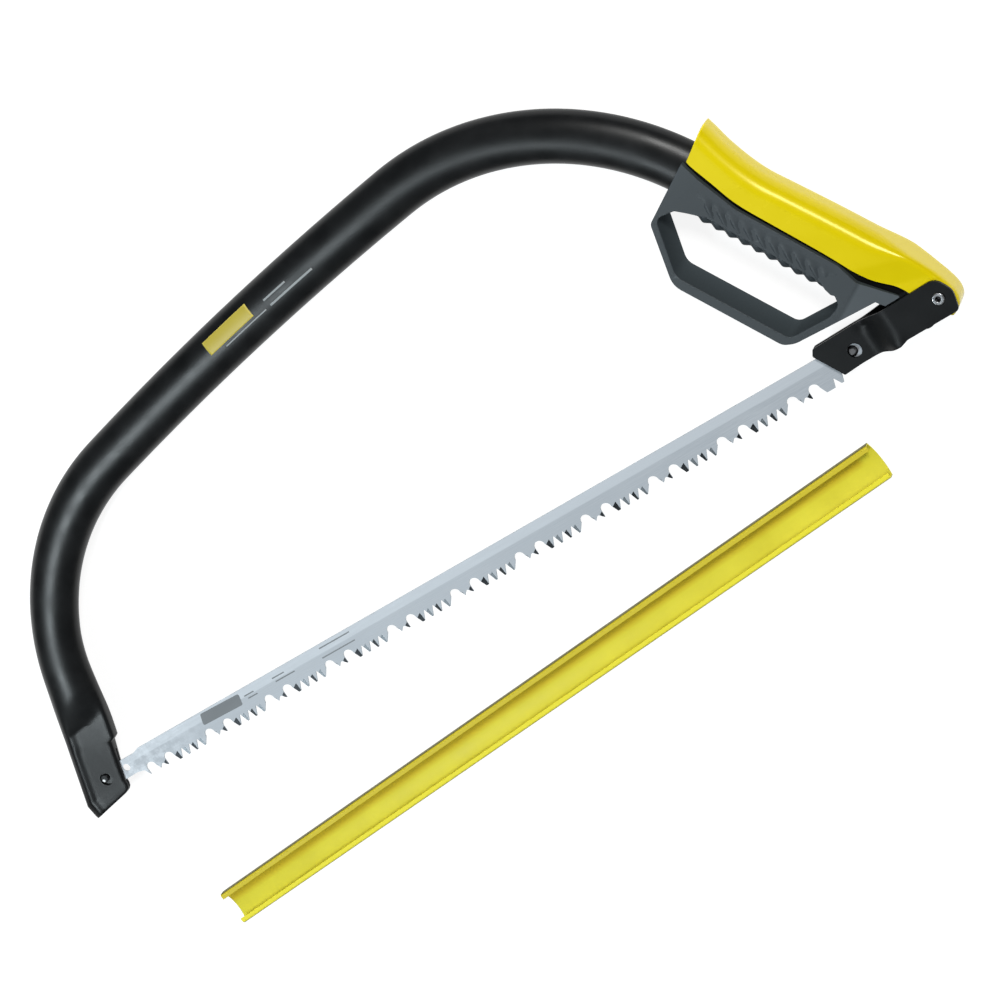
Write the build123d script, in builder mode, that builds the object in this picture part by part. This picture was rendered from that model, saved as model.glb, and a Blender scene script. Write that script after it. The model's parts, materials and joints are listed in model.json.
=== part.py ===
"""Bow saw: bent oval tube, raker-toothed blade, over-centre lever handle with knuckle guard,
and a clip-on blade cover that lies beside it.

The saw lies flat. +X runs along the blade towards the handle, +Y towards the bow, +Z is up.
The origin is under the middle of the whole set, on the surface that it lies on.
Distances along and across the blade are given from the nose end of the blade line by saw(),
and distances along and across the handle are given from the lever's pivot by grip().
"""
from build123d import *
from math import cos, hypot, radians, sin
import os

os.makedirs("parts", exist_ok=True)

# ---------------------------------------------------------------- driving dimensions, mm
NOSE_X, NOSE_Y = -321.32, -50.86      # nose end of the blade line, from the origin
GUARD_HALF = 15.4                     # half thickness of the grip and knuckle guard
MID_Z = GUARD_HALF                    # the saw's middle plane, above the surface

BLADE_PIN_X = 596.0                   # blade hole to blade hole
HOLE_Y = -1.5                         # line of the blade's holes
BLADE_BACK, BLADE_TIP = 5.0, -15.8    # back edge and tooth tips
BLADE_THICK = 0.9

TUBE_HALF_WIDE, TUBE_HALF_THICK = 16.4, 11.1
TUBE_WALL = 1.5

PIVOT_X, PIVOT_Y = 646.8, 0.0         # lever pivot
HANDLE_ANGLE = -62.64                 # handle axis, from the bow down to the pivot
PIVOT_R = 3.5
RIVET_X, RIVET_Y = 660.5, 2.9         # lever-to-stirrup rivet
RIVET_R = 3.0
RUNNING = 0.06                        # radial clearance of a running fit

TONGUE_HALF = 8.2                     # half thickness of the tube's flattened lever end
TONGUE_R = 9.8
CHANNEL_WALL = 1.4
CHANNEL_UPPER, CHANNEL_LOWER = 13.0, 10.1     # outer half widths, over the grip and at the pivot
COVER_UPPER, COVER_LOWER = 14.8, 11.8
LINK_INNER, LINK_THICK = 12.1, 2.0    # stirrup plate beside the lever
LINK_PINCH = 1.2                      # stirrup plate beside the blade
NOSE_HALF = 4.6                       # half thickness of the pressed nose
BLADE_GAP = 0.7                       # half width of the slot that the blade hangs in

COVER_WIDE, COVER_TALL, COVER_WALL, COVER_LIP = 25.0, 9.0, 1.1, 3.8
COVER_START, COVER_END = (13.4, -124.0), (567.7, -69.4)


def saw(x, y):
    """A point measured from the nose end of the blade line."""
    return (x + NOSE_X, y + NOSE_Y)


def grip(along, out):
    """A point measured from the pivot: along the handle, down being plus, and outwards."""
    turn = radians(HANDLE_ANGLE)
    return saw(
        PIVOT_X + along * cos(turn) - out * sin(turn),
        PIVOT_Y + along * sin(turn) + out * cos(turn),
    )


def level(z):
    """The plane z above the saw's middle plane."""
    return Plane.XY.offset(MID_Z + z)


HANDLE = Plane(
    origin=(*grip(0, 0), MID_Z),
    x_dir=(cos(radians(HANDLE_ANGLE)), sin(radians(HANDLE_ANGLE)), 0),
    z_dir=(0, 0, 1),
)
HANDLE_PLAN = Plane(origin=HANDLE.origin, x_dir=HANDLE.x_dir, z_dir=-HANDLE.y_dir)


def save(piece, name):
    """Writes one finished piece to its own file."""
    piece.part.label = name
    export_step(piece.part, f"parts/{name}.step")


# ---------------------------------------------------------------- bent tube frame
HANDLE_RUN = 148.2
TOP_BEND_R, TOP_BEND = 166.8, 68.94
BACK_R, BACK_BEND = 2449.0, 6.4
HEEL_R, HEEL_BEND = 167.7, 57.2
NOSE_RUN = 34.0                       # straight run before the pressed nose
NOSE_PRESS = 22.0                     # length over which the tube is pressed flat
TAPER_TOP, TAPER_LOW = -46.0, -14.0   # where the lever end narrows, along the handle
TONGUE_SHIFT = -1.6
TONGUE_WIDE = 11.4

with BuildPart() as frame_tube:
    with BuildLine() as bow:
        handle_run = Line(grip(TAPER_TOP, 0), grip(-HANDLE_RUN, 0))
        top_bend = JernArc(handle_run @ 1, handle_run % 1, TOP_BEND_R, TOP_BEND)
        back_run = JernArc(top_bend @ 1, top_bend % 1, BACK_R, BACK_BEND)
        heel_bend = JernArc(back_run @ 1, back_run % 1, HEEL_R, HEEL_BEND)
        nose_run = Line(heel_bend @ 1, heel_bend @ 1 + (heel_bend % 1) * NOSE_RUN)
    lift = Vector(0, 0, MID_Z)
    nose_dir = nose_run % 1
    path = bow.wires()[0].moved(Location(lift))
    lever_face = Plane(handle_run @ 0 + lift, x_dir=(0, 0, 1), z_dir=handle_run % 0)
    nose_face = Plane(nose_run @ 1 + lift, x_dir=(0, 0, 1), z_dir=nose_dir)
    with BuildSketch(lever_face):
        Ellipse(TUBE_HALF_THICK, TUBE_HALF_WIDE)
        Ellipse(TUBE_HALF_THICK - TUBE_WALL, TUBE_HALF_WIDE - TUBE_WALL, mode=Mode.SUBTRACT)
    sweep(path=path)
    # pressed nose: the oval runs down to a flat, solid end
    with BuildSketch(nose_face):
        Ellipse(TUBE_HALF_THICK, TUBE_HALF_WIDE)
    with BuildSketch(nose_face.offset(NOSE_PRESS)):
        RectangleRounded(2 * NOSE_HALF, 2 * TUBE_HALF_WIDE, NOSE_HALF - 0.2)
    loft()
    with BuildSketch(nose_face.offset(NOSE_PRESS)):
        RectangleRounded(2 * NOSE_HALF, 2 * TUBE_HALF_WIDE, NOSE_HALF - 0.2)
    extrude(amount=62)
    # the end is cut to a point on the far side and rounded off under the blade
    with BuildSketch(level(-20)):
        with BuildLine():
            Polyline(
                saw(-24.6, -19.0), saw(-22.5, -24.5), saw(4.0, -18.6), saw(9.5, -17.2),
                saw(12.0, -11.0), saw(60, -11), saw(60, -90), saw(-80, -90), saw(-80, -19),
                close=True,
            )
        make_face()
    extrude(amount=40, mode=Mode.SUBTRACT)
    # slot for the blade's tang
    with BuildSketch(level(-BLADE_GAP)):
        with BuildLine():
            Polyline(
                saw(-8.5, 12), saw(60, 12), saw(60, -60), saw(-8.5, -60), close=True,
            )
        make_face()
    extrude(amount=2 * BLADE_GAP, mode=Mode.SUBTRACT)
    # hole for the nose pin, in a wider recess on the near side that is a little off its middle
    with BuildSketch(level(-NOSE_HALF - 1)):
        with Locations(saw(0, HOLE_Y)):
            Circle(2.8)
    extrude(amount=2 * NOSE_HALF, mode=Mode.SUBTRACT)
    with BuildSketch(level(BLADE_GAP + 0.6)):
        with Locations(saw(1.2, HOLE_Y - 0.9)):
            Circle(4.5)
    extrude(amount=NOSE_HALF + 1, mode=Mode.SUBTRACT)
    # lever end: the oval narrows to a flat-sided hollow tongue around the pivot
    with BuildSketch(lever_face):
        Ellipse(TUBE_HALF_THICK, TUBE_HALF_WIDE)
    with BuildSketch(lever_face.offset(TAPER_TOP - TAPER_LOW)):
        with Locations((0, -TONGUE_SHIFT)):
            RectangleRounded(2 * TONGUE_HALF, 2 * TONGUE_WIDE, 4)
    loft()
    with BuildSketch(lever_face.offset(TAPER_TOP - TAPER_LOW)):
        with Locations((0, -TONGUE_SHIFT)):
            RectangleRounded(2 * TONGUE_HALF, 2 * TONGUE_WIDE, 4)
    extrude(amount=TAPER_LOW - TONGUE_R)
    with BuildSketch(lever_face):
        Ellipse(TUBE_HALF_THICK - TUBE_WALL, TUBE_HALF_WIDE - TUBE_WALL)
    with BuildSketch(lever_face.offset(TAPER_TOP - TAPER_LOW)):
        with Locations((0, -TONGUE_SHIFT)):
            RectangleRounded(2 * (TONGUE_HALF - TUBE_WALL), 2 * (TONGUE_WIDE - TUBE_WALL), 2.5)
    loft(mode=Mode.SUBTRACT)
    with BuildSketch(lever_face.offset(TAPER_TOP - TAPER_LOW)):
        with Locations((0, -TONGUE_SHIFT)):
            RectangleRounded(2 * (TONGUE_HALF - TUBE_WALL), 2 * (TONGUE_WIDE - TUBE_WALL), 2.5)
    extrude(amount=TAPER_LOW - TONGUE_R - 5, mode=Mode.SUBTRACT)
    with BuildSketch(HANDLE.offset(-TONGUE_HALF - 1)):
        with BuildLine():
            tongue_end = ThreePointArc((0, -TONGUE_R - 3.4), (TONGUE_R, 0), (0, TONGUE_R))
            Polyline(tongue_end @ 1, (0, 30), (30, 30), (30, -30), (0, -30), tongue_end @ 0)
        make_face()
    extrude(amount=2 * TONGUE_HALF + 2, mode=Mode.SUBTRACT)
    with BuildSketch(HANDLE.offset(-TONGUE_HALF - 1)):
        Circle(5.0)
    extrude(amount=2 * TONGUE_HALF + 2, mode=Mode.SUBTRACT)
save(frame_tube, "frame_tube")

# ---------------------------------------------------------------- nose pin
with BuildPart() as nose_pin:
    with BuildSketch(level(-NOSE_HALF - 1.4)):
        with Locations(saw(0, HOLE_Y)):
            Circle(4.6)
    extrude(amount=1.4)
    with BuildSketch(level(-NOSE_HALF)):
        with Locations(saw(0, HOLE_Y)):
            Circle(2.8)
    extrude(amount=2 * NOSE_HALF - 1.2)
    chamfer(nose_pin.faces().sort_by(Axis.Z)[-1].edges(), 0.6)
    fillet(nose_pin.faces().sort_by(Axis.Z)[0].edges(), 0.8)
save(nose_pin, "nose_pin")

# ---------------------------------------------------------------- blade
GROUP_START, GROUP_PITCH, GROUP_COUNT = 33.8, 51.3, 11
RAKER_SPAN = 15.5                     # between the two deep gullets of a group
GULLET_TOP, GULLET_R = -7.2, 3.7
TOOTH_PITCH, TOOTH_ROOT = 6.9, -9.6
POINT_LEAN = 3.9                      # how far a group's last point leans away from the next gullet
BLADE_END_X, TANG_X = 604.5, 33.0
SLOT_LEFT, SLOT_RIGHT, SLOT_HALF = -5.8, -0.55, 3.4   # rear hole, from the stirrup's pin


def gullet(x, lean):
    """A deep round gullet, open below, between two tooth tips, the first one leaning towards it."""
    top = GULLET_TOP - GULLET_R
    with BuildLine() as edge:
        crown = ThreePointArc(
            saw(x - GULLET_R, top), saw(x, GULLET_TOP), saw(x + GULLET_R, top)
        )
        Polyline(
            crown @ 1, saw(x + GULLET_R + 2.2, BLADE_TIP), saw(x + GULLET_R + 2.2, -20),
            saw(x - GULLET_R - lean, -20), saw(x - GULLET_R - lean, BLADE_TIP), crown @ 0,
        )
    make_face(edge.edges(), mode=Mode.SUBTRACT)


def notch(x, wide, root=TOOTH_ROOT):
    """A leaning V between two pointed teeth, with its root at x."""
    with BuildLine() as edge:
        Polyline(
            saw(x - wide * 0.62, BLADE_TIP), saw(x - 0.7, root - 0.5), saw(x - 0.2, root),
            saw(x + 0.3, root - 0.2), saw(x + wide * 0.38, BLADE_TIP),
            saw(x + wide * 0.38, -20), saw(x - wide * 0.62, -20), close=True,
        )
    make_face(edge.edges(), mode=Mode.SUBTRACT)


with BuildPart() as blade:
    with BuildSketch(level(-BLADE_THICK / 2)):
        with BuildLine():
            Polyline(
                saw(-5.5, 1.5), saw(-3, 3.4), saw(TANG_X - 5, 3.4), saw(TANG_X, BLADE_BACK),
                saw(BLADE_END_X - 3, BLADE_BACK), saw(BLADE_END_X, BLADE_BACK - 3),
                saw(BLADE_END_X, -6), saw(BLADE_END_X - 3, -9), saw(582.5, -9.4),
                saw(580.5, BLADE_TIP + 0.6), saw(579.0, BLADE_TIP + 0.6), saw(576.0, -10),
                saw(574.0, BLADE_TIP), saw(30.6, BLADE_TIP), saw(27.5, -10.4), saw(22, -9.2),
                saw(10, -9.6), saw(-3, -8.6), saw(-5.5, -6.5), close=True,
            )
        make_face()
        for group in range(GROUP_COUNT):
            start = GROUP_START + group * GROUP_PITCH
            gullet(start, POINT_LEAN if group else 0)
            gullet(start + RAKER_SPAN, 0)
            # the raker is a little lower than the teeth and has a shallow V between two prongs
            raker = start + RAKER_SPAN / 2 + 0.4
            with BuildLine():
                Polyline(
                    saw(raker - 5.4, -20), saw(raker - 5.4, BLADE_TIP + 0.9),
                    saw(raker - 3.3, BLADE_TIP + 0.9), saw(raker - 0.6, BLADE_TIP + 3.6),
                    saw(raker + 0.6, BLADE_TIP + 3.6), saw(raker + 3.3, BLADE_TIP + 0.9),
                    saw(raker + 5.4, BLADE_TIP + 0.9), saw(raker + 5.4, -20), close=True,
                )
            make_face(mode=Mode.SUBTRACT)
            if group == GROUP_COUNT - 1:
                continue
            first = start + RAKER_SPAN + GULLET_R + 2.2
            for tooth in range(3):
                notch(first + 5.3 + tooth * TOOTH_PITCH, TOOTH_PITCH - 1.0)
        with Locations(saw(0, HOLE_Y)):
            Circle(2.9, mode=Mode.SUBTRACT)
        with Locations(saw(17.4, -2.8)):
            Circle(2.6, mode=Mode.SUBTRACT)
        with Locations(saw(BLADE_PIN_X + (SLOT_LEFT + SLOT_RIGHT) / 2, HOLE_Y)):
            SlotCenterToCenter(SLOT_RIGHT - SLOT_LEFT, 2 * SLOT_HALF, mode=Mode.SUBTRACT)
    extrude(amount=BLADE_THICK)
save(blade, "blade")

# ---------------------------------------------------------------- grip shells with knuckle guard
TUBE_CLEAR = 0.05
SCREWS = [saw(554.3, 129.6), saw(611.5, 24.2), saw(568.0, 27.0)]
SCREW_R, SCREW_HEAD_R, SCREW_HEAD = 1.5, 2.7, 1.8
FINGER_START, FINGER_PITCH, FINGERS = -135.0, 8.83, 9
FINGER_DEEP, FINGER_RISE, FINGER_WAVE = -20.3, 0.3, 0.8    # first bump, rise per bump, hollow between


def grip_outline():
    """Outside of the grip and guard, seen from the side."""
    with BuildLine() as edge:
        Polyline(
            grip(-162.5, 5.8), grip(-149, 2.4), grip(-122, -1.2), grip(-54, -0.4), grip(-28, -0.2),
            grip(-15.4, 3.4), saw(630.0, 15.0), saw(628.0, 19.6), saw(566.5, 20.8), saw(530.0, 89.5),
            saw(541.5, 127.6), close=True,
        )
    make_face(edge.edges())


def finger_hole():
    """The opening for the fingers, with a bumpy edge under the grip."""
    bumps = [grip(-150.5, -22.5), grip(-144.6, -20.0)]
    for finger in range(FINGERS):
        along = FINGER_START + finger * FINGER_PITCH
        deep = FINGER_DEEP + FINGER_RISE * finger
        bumps.append(grip(along, deep))
        bumps.append(grip(along + FINGER_PITCH / 2, deep + FINGER_WAVE))
    with BuildLine() as edge:
        under = Spline(bumps)
        Polyline(
            under @ 1, grip(-50.5, -16.8), saw(609.3, 36.0), saw(608.2, 30.6), saw(602.5, 26.4),
            saw(577.0, 26.0), saw(570.3, 30.0), saw(536.6, 88.8), saw(535.9, 95.0), saw(544.2, 122.8),
            saw(549.6, 127.2), saw(553.6, 126.8), under @ 0,
        )
    make_face(edge.edges(), mode=Mode.SUBTRACT)


def grip_half(bottom):
    """One shell, as high as half the guard, before its edges are eased."""
    with BuildSketch(level(bottom)) as side_view:
        grip_outline()
        finger_hole()
    extrude(side_view.sketch, amount=GUARD_HALF)
    add(tube_bed.part, mode=Mode.SUBTRACT)


with BuildPart() as tube_bed:
    with BuildLine() as bed_line:
        bed_run = Line(grip(20, 0), grip(-HANDLE_RUN, 0))
        bed_bend = JernArc(bed_run @ 1, bed_run % 1, TOP_BEND_R, 16)
    with BuildSketch(Plane(bed_run @ 0 + lift, x_dir=(0, 0, 1), z_dir=bed_run % 0)):
        Ellipse(TUBE_HALF_THICK + TUBE_CLEAR, TUBE_HALF_WIDE + TUBE_CLEAR)
    sweep(path=bed_line.wires()[0].moved(Location(lift)))

with BuildPart() as grip_near_half:
    grip_half(0)
    outer = grip_near_half.faces().sort_by(Axis.Z)[-1]
    chamfer(outer.edges().filter_by(GeomType.BSPLINE), 2.0)
    for spot in SCREWS:
        with BuildSketch(level(0)):
            with Locations(spot):
                Circle(SCREW_R)
        extrude(amount=9, mode=Mode.SUBTRACT)
save(grip_near_half, "grip_near_half")

with BuildPart() as grip_far_half:
    grip_half(-GUARD_HALF)
    outer = grip_far_half.faces().sort_by(Axis.Z)[0]
    chamfer(outer.edges().filter_by(GeomType.BSPLINE), 2.0)
    for spot in SCREWS:
        with BuildSketch(level(-GUARD_HALF)):
            with Locations(spot):
                Circle(SCREW_R)
        extrude(amount=GUARD_HALF, mode=Mode.SUBTRACT)
        with BuildSketch(level(-GUARD_HALF)):
            with Locations(spot):
                Circle(SCREW_HEAD_R)
        extrude(amount=SCREW_HEAD + 0.6, mode=Mode.SUBTRACT)
save(grip_far_half, "grip_far_half")

with BuildPart() as grip_screws:
    for spot in SCREWS:
        with BuildSketch(level(-GUARD_HALF + 0.6)):
            with Locations(spot):
                Circle(SCREW_HEAD_R - 0.1)
        extrude(amount=SCREW_HEAD)
        with BuildSketch(level(-GUARD_HALF + 0.6)):
            with Locations(spot):
                Circle(SCREW_R)
        extrude(amount=GUARD_HALF + 8)
        with BuildSketch(level(-GUARD_HALF + 0.6)):
            with Locations(spot):
                Rectangle(3.0, 0.7)
                Rectangle(0.7, 3.0)
        extrude(amount=1.0, mode=Mode.SUBTRACT)
save(grip_screws, "grip_screws")

# ---------------------------------------------------------------- lever: steel channel
CHANNEL_TOP = 19.2                    # outside of the channel's web, out from the handle axis
CHANNEL_FRONT = -142.0
STEP_TOP, STEP_LOW = -46.0, -15.5     # where the lever steps in beside the stirrup


def lever_plan(front, end, upper, lower):
    """Outline of the lever seen from outside, wide on the grip, narrow at the end."""
    with BuildLine() as edge:
        Polyline(
            (front, -upper), (STEP_TOP, -upper), (STEP_LOW, -lower), (end, -lower), (end, lower),
            (STEP_LOW, lower), (STEP_TOP, upper), (front, upper), close=True,
        )
    make_face(edge.edges())


with BuildPart() as lever_channel:
    with BuildSketch(HANDLE.offset(-CHANNEL_UPPER)):
        with BuildLine():
            Polyline(
                (CHANNEL_FRONT, CHANNEL_TOP), (12, CHANNEL_TOP), (12, 4), (7.4, -3), (4, -6.4),
                (-4, -6.4), (-8, 0), (-14, 6.6), (-30, 5.4), (CHANNEL_FRONT, 5.4), close=True,
            )
        make_face()
    extrude(amount=2 * CHANNEL_UPPER)
    with BuildSketch(HANDLE_PLAN.offset(-30)):
        lever_plan(CHANNEL_FRONT - 5, 20, CHANNEL_UPPER, CHANNEL_LOWER)
    extrude(amount=60, mode=Mode.INTERSECT)
    with BuildSketch(HANDLE_PLAN.offset(-CHANNEL_TOP + CHANNEL_WALL)):
        lever_plan(
            CHANNEL_FRONT - 5, 20, CHANNEL_UPPER - CHANNEL_WALL, CHANNEL_LOWER - CHANNEL_WALL
        )
    extrude(amount=40, mode=Mode.SUBTRACT)
    with BuildSketch(HANDLE.offset(-CHANNEL_UPPER)):
        Circle(PIVOT_R)
    extrude(amount=2 * CHANNEL_UPPER, mode=Mode.SUBTRACT)
    with BuildSketch(level(-CHANNEL_UPPER)):
        with Locations(saw(RIVET_X, RIVET_Y)):
            Circle(RIVET_R + RUNNING)
    extrude(amount=2 * CHANNEL_UPPER, mode=Mode.SUBTRACT)
save(lever_channel, "lever_channel")

# ---------------------------------------------------------------- lever: moulded cover
GRIP_TIP = (-163.0, 30.6)
COVER_FIT = 0.05
FLARE_START = -128.0                  # from here to the tip the cover is an open, flared shell
SHELL = 2.0
BACK_FILLET = 4.5
WASHER_R = 6.0

with BuildPart() as lever_cover:
    with BuildSketch(HANDLE.offset(-COVER_UPPER)):
        with BuildLine():
            back = Spline(GRIP_TIP, (-150, 27.2), (-136, 23.6), (-116, 22.3))
            ridge = Line(back @ 1, (-32, 26.4))
            heel = Spline(ridge @ 1, (-8, 24.7), (9, 21.9), (15.6, 17.4), (16.8, 12.0), (16.2, 8.6))
            lower = Polyline(
                heel @ 1, (13.5, 7.6), (-13, 6.0), (-20, 6.2), (-29, 4.6), (-42, 1.8), (-82, 2.2),
                (-108, 1.6), (-123, 1.8), (-141, 4.6), (-156, 7.4), (-160.6, 8.4), GRIP_TIP,
            )
        make_face()
    extrude(amount=2 * COVER_UPPER)
    with BuildSketch(HANDLE_PLAN.offset(-40)):
        lever_plan(-170, 24, COVER_UPPER, COVER_LOWER)
    extrude(amount=60, mode=Mode.INTERSECT)
    # rounded back
    back_edges = lever_cover.edges().filter_by(
        lambda e: HANDLE.to_local_coords(e.center()).Y > 18
        and abs(HANDLE.to_local_coords(e.center()).Z) > COVER_LOWER - 1
        and e.bounding_box().size.Z < 4
    )
    fillet(back_edges, BACK_FILLET)
    # inside: the channel's seat, then the open flare towards the tip
    with BuildSketch(HANDLE_PLAN.offset(-CHANNEL_TOP - COVER_FIT)):
        lever_plan(-170, 12 + COVER_FIT, CHANNEL_UPPER + COVER_FIT, CHANNEL_LOWER + COVER_FIT)
    extrude(amount=60, mode=Mode.SUBTRACT)
    with BuildSketch(HANDLE.offset(-COVER_UPPER + SHELL)):
        with BuildLine():
            Polyline(
                (-175, -10), (-175, 33), (-163, 28.2), (-150, 25.0), (-136, 21.4),
                (FLARE_START, CHANNEL_TOP), (FLARE_START, -10), close=True,
            )
        make_face()
    extrude(amount=2 * (COVER_UPPER - SHELL), mode=Mode.SUBTRACT)
    with BuildSketch(level(-COVER_UPPER)):
        with Locations(saw(RIVET_X, RIVET_Y)):
            Circle(WASHER_R + 0.3)
    extrude(amount=2 * COVER_UPPER, mode=Mode.SUBTRACT)
save(lever_cover, "lever_cover")

# ---------------------------------------------------------------- pivot pin and bush
PIVOT_HEAD_R, PIVOT_HEAD = 5.0, 1.5

with BuildPart() as pivot_pin:
    with BuildSketch(HANDLE.offset(-CHANNEL_LOWER)):
        Circle(PIVOT_R)
    extrude(amount=2 * CHANNEL_LOWER)
    with BuildSketch(HANDLE.offset(CHANNEL_LOWER), HANDLE.offset(-CHANNEL_LOWER - PIVOT_HEAD)):
        Circle(PIVOT_HEAD_R)
    extrude(amount=PIVOT_HEAD)
    fillet(pivot_pin.faces().sort_by(Axis.Z)[-1].edges(), 0.7)
    fillet(pivot_pin.faces().sort_by(Axis.Z)[0].edges(), 0.7)
save(pivot_pin, "pivot_pin")

with BuildPart() as pivot_bush:
    with BuildSketch(HANDLE.offset(-TONGUE_HALF)):
        Circle(5.0)
        Circle(PIVOT_R + RUNNING, mode=Mode.SUBTRACT)
    extrude(amount=2 * TONGUE_HALF)
save(pivot_bush, "pivot_bush")

# ---------------------------------------------------------------- stirrup
JOGGLE_LOW, JOGGLE_HIGH = 608.5, 628.5   # where the plates step out from the blade to the lever
BLADE_PIN_R = 2.4
RIVET_HEAD_R, RIVET_HEAD = 3.7, 1.1


def link_plate(side):
    """A joggled plate: its bends seen from the edge, cut to its outline seen from the side."""
    inner = [(570, LINK_PINCH), (JOGGLE_LOW, LINK_PINCH), (JOGGLE_HIGH, LINK_INNER), (680, LINK_INNER)]
    outer = [(x + shift, z + LINK_THICK) for (x, z), shift in zip(inner, (0, -1.0, -1.0, 0))]
    rim = [*inner, *reversed(outer)]
    with BuildSketch(Plane.XZ.offset(-NOSE_Y + 40)) as edge_view:
        with BuildLine() as edge:
            Polyline([(x + NOSE_X, MID_Z + side * z) for x, z in rim], close=True)
        make_face(edge.edges())
        bends = edge_view.vertices().filter_by(lambda v: abs(v.X - NOSE_X - 618) < 15)
        fillet(bends, 2.5)
    extrude(edge_view.sketch, amount=-80)
    with BuildSketch(level(-20)) as side_view:
        with BuildLine() as outline:
            rivet_end = ThreePointArc(saw(667.2, -8.6), saw(670.0, 3.0), saw(664.8, 14.2))
            Polyline(
                rivet_end @ 1, saw(604.7, 12.4), saw(576.3, 11.6), saw(574.0, 7.7), saw(584.4, -11.2),
                saw(597.6, -10.4), saw(612, -10.2), saw(619, -11.0), saw(626, -10.8),
                saw(631.6, -9.2), rivet_end @ 0,
            )
        make_face(outline.edges())
        fillet(side_view.vertices().filter_by(lambda v: v.X - NOSE_X < 590), 1.2)
    extrude(side_view.sketch, amount=40, mode=Mode.INTERSECT)


def link_hole(spot, radius):
    """A round hole through the plate that is being built."""
    with BuildSketch(level(-20)) as hole:
        with Locations(spot):
            Circle(radius)
    extrude(hole.sketch, amount=40, mode=Mode.SUBTRACT)


with BuildPart() as link_near_plate:
    link_plate(1)
    link_hole(saw(RIVET_X, RIVET_Y), RIVET_R)
    link_hole(saw(BLADE_PIN_X + 1.6, HOLE_Y), 4.4)
save(link_near_plate, "link_near_plate")

with BuildPart() as link_far_plate:
    link_plate(-1)
    link_hole(saw(RIVET_X, RIVET_Y), RIVET_R)
    link_hole(saw(BLADE_PIN_X, HOLE_Y), BLADE_PIN_R)
save(link_far_plate, "link_far_plate")

with BuildPart() as blade_pin:
    with BuildSketch(level(-LINK_PINCH - LINK_THICK)):
        with Locations(saw(BLADE_PIN_X, HOLE_Y)):
            Circle(BLADE_PIN_R)
    extrude(amount=2 * (LINK_PINCH + LINK_THICK) - 0.2)
    chamfer(blade_pin.faces().sort_by(Axis.Z)[-1].edges(), 0.5)
    with BuildSketch(level(-LINK_PINCH - LINK_THICK - 1.2)):
        with Locations(saw(BLADE_PIN_X, HOLE_Y)):
            Circle(BLADE_PIN_R + 1.3)
    extrude(amount=1.2)
    fillet(blade_pin.faces().sort_by(Axis.Z)[0].edges(), 0.6)
save(blade_pin, "blade_pin")

with BuildPart() as link_rivet:
    outside = LINK_INNER + LINK_THICK
    with BuildSketch(level(-outside)):
        with Locations(saw(RIVET_X, RIVET_Y)):
            Circle(RIVET_R)
    extrude(amount=2 * outside)
    with BuildSketch(level(outside), level(-outside - RIVET_HEAD)):
        with Locations(saw(RIVET_X, RIVET_Y)):
            Circle(RIVET_HEAD_R)
    extrude(amount=RIVET_HEAD)
    fillet(link_rivet.faces().sort_by(Axis.Z)[-1].edges(), 0.6)
    fillet(link_rivet.faces().sort_by(Axis.Z)[0].edges(), 0.6)
    with BuildSketch(level(-outside - RIVET_HEAD)):
        with Locations(saw(RIVET_X, RIVET_Y)):
            Circle(RIVET_R - 1.3)
    extrude(amount=2 * (outside + RIVET_HEAD), mode=Mode.SUBTRACT)
save(link_rivet, "link_rivet")

with BuildPart() as link_washers:
    with BuildSketch(level(CHANNEL_LOWER + 0.05), level(-LINK_INNER)):
        with Locations(saw(RIVET_X, RIVET_Y)):
            Circle(WASHER_R)
            Circle(RIVET_R, mode=Mode.SUBTRACT)
    extrude(amount=LINK_INNER - CHANNEL_LOWER - 0.05)
save(link_washers, "link_washers")

# ---------------------------------------------------------------- blade cover, lying beside the saw
WEB_RISE = 1.6                        # crown of the web across its width

run = (COVER_END[0] - COVER_START[0], COVER_END[1] - COVER_START[1])
COVER_LONG = hypot(*run)
COVER_FACE = Plane(
    origin=(*saw(*COVER_START), 0),
    x_dir=(run[1] / COVER_LONG, -run[0] / COVER_LONG, 0),
    z_dir=(-run[0] / COVER_LONG, -run[1] / COVER_LONG, 0),
)

with BuildPart() as blade_cover:
    half = COVER_WIDE / 2
    with BuildSketch(COVER_FACE):
        with BuildLine():
            outside_web = ThreePointArc((-half, WEB_RISE + 1.4), (0, 0), (half, WEB_RISE + 1.4))
            Polyline(
                outside_web @ 1, (half, COVER_TALL - 1.2), (half - 1.2, COVER_TALL),
                (half - COVER_LIP, COVER_TALL), (half - COVER_LIP, COVER_TALL - COVER_WALL),
                (half - COVER_WALL - 0.6, COVER_TALL - COVER_WALL),
                (half - COVER_WALL, COVER_TALL - COVER_WALL - 0.6),
                (half - COVER_WALL, WEB_RISE + 1.4 + COVER_WALL),
            )
            inside_web = ThreePointArc(
                (half - COVER_WALL, WEB_RISE + 1.4 + COVER_WALL), (0, COVER_WALL),
                (-half + COVER_WALL, WEB_RISE + 1.4 + COVER_WALL),
            )
            Polyline(
                inside_web @ 1, (-half + COVER_WALL, COVER_TALL - COVER_WALL - 0.6),
                (-half + COVER_WALL + 0.6, COVER_TALL - COVER_WALL),
                (-half + COVER_LIP, COVER_TALL - COVER_WALL), (-half + COVER_LIP, COVER_TALL),
                (-half + 1.2, COVER_TALL), (-half, COVER_TALL - 1.2), outside_web @ 0,
            )
        make_face()
    extrude(amount=-COVER_LONG)
save(blade_cover, "blade_cover")
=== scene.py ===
"""Looks of the bow saw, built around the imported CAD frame.

Everything is in metres in the CAD's frame: +X along the blade towards the handle, +Y towards the
bow, +Z up, and the set lies on the surface at z = 0. saw() and grip() give points in
millimetres from the nose end of the blade line and from the lever's pivot, as the CAD does.
"""

import json
import math

import bmesh
import bpy
from mathutils import Matrix, Vector


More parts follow.
